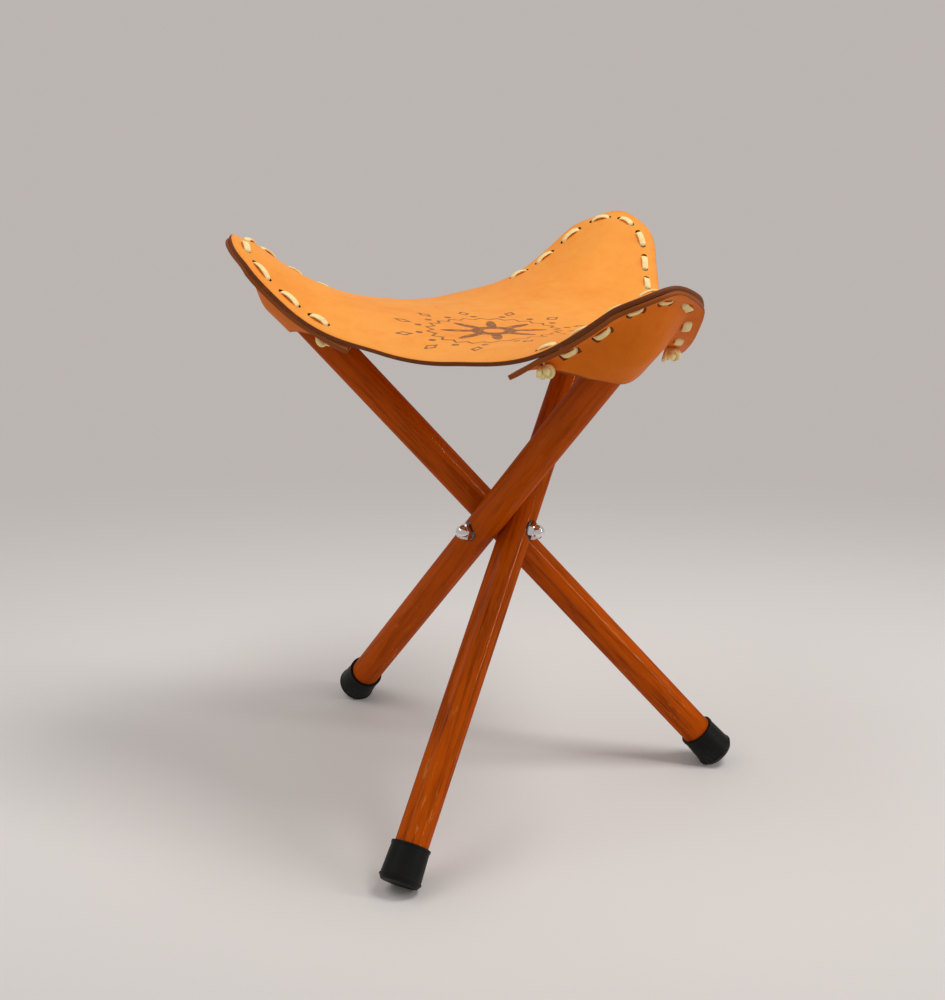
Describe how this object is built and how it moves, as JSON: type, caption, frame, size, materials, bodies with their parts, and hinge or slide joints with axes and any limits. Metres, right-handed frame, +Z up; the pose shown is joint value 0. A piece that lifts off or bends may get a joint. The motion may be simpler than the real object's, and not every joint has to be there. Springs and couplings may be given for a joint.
{
  "type": "folding tripod stool",
  "caption": "Folding tripod stool with a laced leather seat on crossed round wooden legs that turn on a three-way bolt and stand on rubber feet.",
  "frame": {"origin": "on the floor, straight below the middle of the three-way bolt", "axes": "+Z up; +Y along the bolt's stud that carries the leg whose top is at the left; the pictured front faces -Y"},
  "size_m": [0.4512, 0.4052, 0.4912],
  "materials": {
    "bolt_steel": "plain zinc-plated steel",
    "bright_steel": "polished bright plating",
    "stained_wood": "dark red-brown stain under gloss varnish",
    "black_rubber": "matt black",
    "seat_leather": "smooth orange-tan vegetable-tanned leather, semi-gloss",
    "pocket_leather": "smooth brown-tan leather, semi-gloss",
    "cream_lace": "soft matt cream lace"
  },
  "bodies": {
    "bolt": {"three_way_bolt": "bolt_steel", "washer_left": "bright_steel", "washer_front": "bright_steel", "washer_back": "bright_steel", "cap_nut_left": "bright_steel", "cap_nut_front": "bright_steel", "cap_nut_back": "bright_steel"},
    "leg_left": {"leg_left": "stained_wood", "foot_left": "black_rubber"},
    "leg_front": {"leg_front": "stained_wood", "foot_front": "black_rubber"},
    "leg_back": {"leg_back": "stained_wood", "foot_back": "black_rubber"},
    "seat": {"seat_panel": "seat_leather", "pocket_left": "pocket_leather", "pocket_front": "pocket_leather", "pocket_back": "pocket_leather", "lace_left": "cream_lace", "lace_front": "cream_lace", "lace_back": "cream_lace"}
  },
  "joints": [
    {"name": "leg_left_fold", "type": "hinge", "parent": "bolt", "child": "leg_left", "pos_m": [0, 0.0181, 0.24275], "axis": [0, 1, 0], "range_deg": [0, 40]},
    {"name": "leg_front_fold", "type": "hinge", "parent": "bolt", "child": "leg_front", "pos_m": [-0.01568, -0.00905, 0.24275], "axis": [-0.866, -0.5, 0], "range_deg": [0, 40]},
    {"name": "leg_back_fold", "type": "hinge", "parent": "bolt", "child": "leg_back", "pos_m": [0.01568, -0.00905, 0.24275], "axis": [0.866, -0.5, 0], "range_deg": [0, 40]},
    {"name": "seat_lift", "type": "slide", "parent": "bolt", "child": "seat", "axis": [0, 0, 1], "range_m": [0, 0.2653]}
  ],
  "couplings": [
    {"joint": "leg_front_fold", "follows": "leg_left_fold", "ratio": 1},
    {"joint": "leg_back_fold", "follows": "leg_left_fold", "ratio": 1},
    {"joint": "seat_lift", "follows": "leg_left_fold", "m_per_rad": 0.38}
  ]
}
